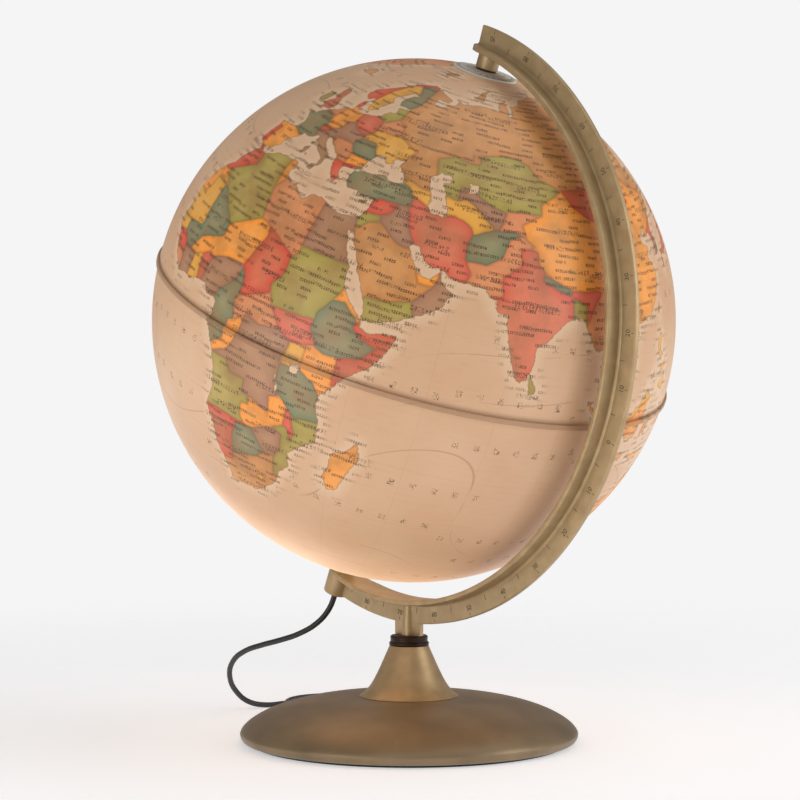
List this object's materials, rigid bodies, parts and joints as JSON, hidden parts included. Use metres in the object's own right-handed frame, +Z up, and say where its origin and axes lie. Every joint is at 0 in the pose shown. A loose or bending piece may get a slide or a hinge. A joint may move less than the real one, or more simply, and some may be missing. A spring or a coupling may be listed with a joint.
{
  "type": "desktop globe on stand",
  "caption": "Illuminated political desk globe turning on a tilted half meridian arm above a round pedestal base, with a mains cord.",
  "frame": {"origin": "centre of the round base's underside, on the surface that it stands on", "axes": "+Z up; the half meridian arm lies in the XZ plane and bulges towards +X; the pole axis leans from upright towards +X at its north end"},
  "size_m": [0.3506, 0.3061, 0.4066],
  "materials": {
    "lacquered_base": "bronze lacquer, satin gloss",
    "lacquered_arm": "bronze lacquer, satin gloss",
    "dark_collar": "dark brown enamel, glossy",
    "ballast_iron": "raw casting",
    "cover_plastic": "moulded, matte",
    "felt": "pressed felt",
    "zinc_steel": "zinc plated",
    "printed_shell": "translucent plastic with a printed political map, satin",
    "band_tape": "printed rib, satin",
    "dial_card": "pale printed disc",
    "bearing_plastic": "natural nylon",
    "brown_bush": "brown moulding",
    "porcelain": "white lamp holder",
    "opal_glass": "opal bulb glass",
    "nickel": "nickel plated",
    "black_pvc": "flexible black PVC, satin"
  },
  "bodies": {
    "stand": {"base_shell": "lacquered_base", "base_weight": "ballast_iron", "base_plate": "cover_plastic", "felt_pad": "felt", "cover_screws": "zinc_steel", "pedestal_cone": "lacquered_arm", "collar": "dark_collar", "stay_bolt": "zinc_steel", "stay_washer": "zinc_steel", "stay_nut": "zinc_steel", "arm": "lacquered_arm", "axle_pin": "nickel", "lamp_tube": "zinc_steel", "tube_nut": "zinc_steel", "south_spacer": "lacquered_arm", "thrust_washer": "bearing_plastic", "lamp_holder": "porcelain", "bulb_cap": "nickel", "bulb_glass": "opal_glass", "cord_gland": "black_pvc", "cord": "black_pvc", "cord_coil": "black_pvc", "coil_ties": "black_pvc", "cord_tail": "black_pvc", "plug_body": "black_pvc", "plug_pins": "nickel"},
    "ball": {"north_shell": "printed_shell", "south_shell": "printed_shell", "equator_band": "band_tape", "joint_ring": "bearing_plastic", "hour_disc": "dial_card", "pole_bush": "brown_bush", "south_bush": "bearing_plastic"}
  },
  "joints": [
    {"name": "globe_spin", "type": "hinge", "parent": "stand", "child": "ball", "pos_m": [0.004, 0, 0.243], "axis": [0.3987, 0, 0.9171], "continuous": true}
  ]
}
